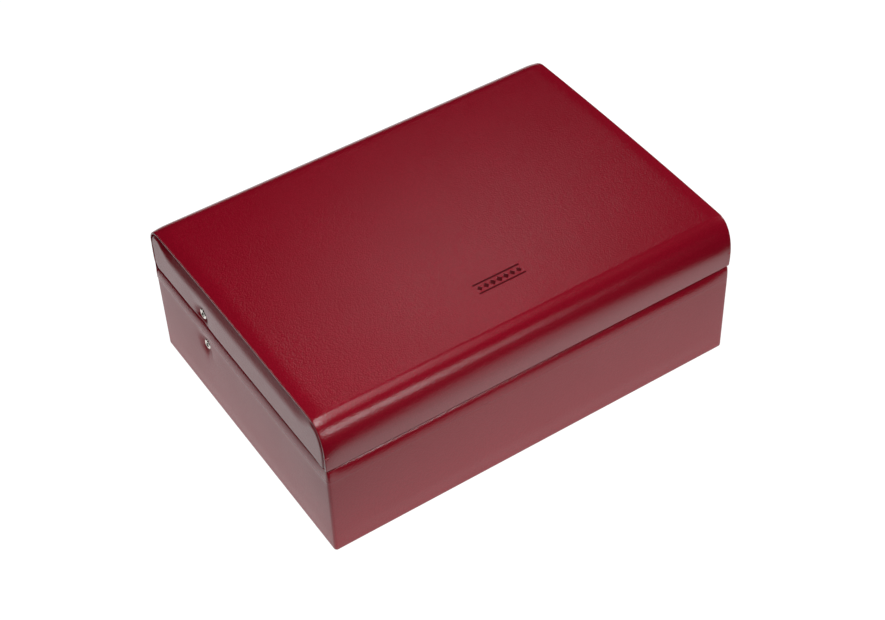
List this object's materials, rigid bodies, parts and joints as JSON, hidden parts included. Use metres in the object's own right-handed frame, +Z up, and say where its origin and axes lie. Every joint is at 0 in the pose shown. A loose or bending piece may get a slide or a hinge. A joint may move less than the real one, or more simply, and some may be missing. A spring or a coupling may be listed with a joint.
{
  "type": "jewellery case",
  "caption": "Padded leather jewellery case with a hinged lid, a mirror and a lift-up tray on side arms.",
  "frame": {"origin": "centre of the underside, on the surface the case stands on", "axes": "+Z up, +X to the right along the width, -Y to the front where the lid opens"},
  "size_m": [0.26, 0.187, 0.0955],
  "materials": {
    "leather": "satin, fine pebble grain",
    "leather_trim": "satin, fine pebble grain",
    "velvet": "short-pile velvet",
    "velvet_rolls": "short-pile velvet",
    "board": "fibreboard",
    "bottom_cover": "flocked felt",
    "mirror": "silvered glass",
    "nickel": "polished nickel",
    "steel": "plain",
    "magnet": "nickel plated magnet",
    "brass_hinge": "plated"
  },
  "bodies": {
    "base": {"base_back_board": "board", "base_back_lining": "velvet", "base_bottom_cover": "bottom_cover", "base_floor_board": "board", "base_floor_lining": "velvet", "base_front_board": "board", "base_front_lining": "velvet", "base_leather_wrap": "leather", "base_left_board": "board", "base_left_lining": "velvet", "base_right_board": "board", "base_right_lining": "velvet", "base_rivet_left": "nickel", "base_rivet_right": "nickel", "base_strike_plates": "steel", "hinge_base_leaf": "brass_hinge", "hinge_leather_strip": "leather", "hinge_pin": "brass_hinge", "lower_divider_left": "velvet", "lower_divider_right": "velvet", "rear_compartment_divider_left": "velvet", "rear_compartment_divider_right": "velvet", "rear_divider": "velvet"},
    "lid": {"hinge_lid_leaf": "brass_hinge", "lid_cheek_left": "board", "lid_cheek_lining_left": "velvet", "lid_cheek_lining_right": "velvet", "lid_cheek_right": "board", "lid_cover_board": "board", "lid_end_panel_left": "leather", "lid_end_panel_right": "leather", "lid_leather_cover": "leather", "lid_lining": "velvet", "lid_magnets": "magnet", "lid_rivet_left": "nickel", "lid_rivet_right": "nickel", "lid_spacer_left": "nickel", "lid_spacer_right": "nickel", "mirror_frame": "leather_trim", "mirror_glass": "mirror"},
    "tray": {"tray_back_wall": "velvet", "tray_bracket_left": "nickel", "tray_bracket_right": "nickel", "tray_bracket_rivets": "nickel", "tray_divider_left": "velvet", "tray_divider_middle": "velvet", "tray_divider_right": "velvet", "tray_floor": "velvet", "tray_front_wall": "velvet", "tray_left_wall": "velvet", "tray_pin_left": "nickel", "tray_pin_right": "nickel", "tray_right_wall": "velvet", "tray_ring_rolls": "velvet_rolls"},
    "arm_left": {"arm_left": "nickel"},
    "arm_right": {"arm_right": "nickel"}
  },
  "joints": [
    {"name": "lid_hinge", "type": "hinge", "parent": "base", "child": "lid", "pos_m": [0, 0.0911, 0.0635], "axis": [-1, 0, 0], "range_deg": [0, 95], "deforming": ["hinge_leather_strip"]},
    {"name": "tray_hang", "type": "hinge", "parent": "lid", "child": "tray", "pos_m": [0, 0.0368, 0.0699], "axis": [-1, 0, 0], "range_deg": [-95, 0]},
    {"name": "arm_left_pivot", "type": "hinge", "parent": "base", "child": "arm_left", "pos_m": [-0.1216, 0.038, 0.0454], "axis": [-1, 0, 0], "range_deg": [0, 95]},
    {"name": "arm_right_pivot", "type": "hinge", "parent": "base", "child": "arm_right", "pos_m": [0.1216, 0.038, 0.0454], "axis": [-1, 0, 0], "range_deg": [0, 95]}
  ],
  "couplings": [
    {"joint": "tray_hang", "follows": "lid_hinge", "ratio": -1},
    {"joint": "arm_left_pivot", "follows": "lid_hinge", "ratio": 1},
    {"joint": "arm_right_pivot", "follows": "lid_hinge", "ratio": 1}
  ]
}
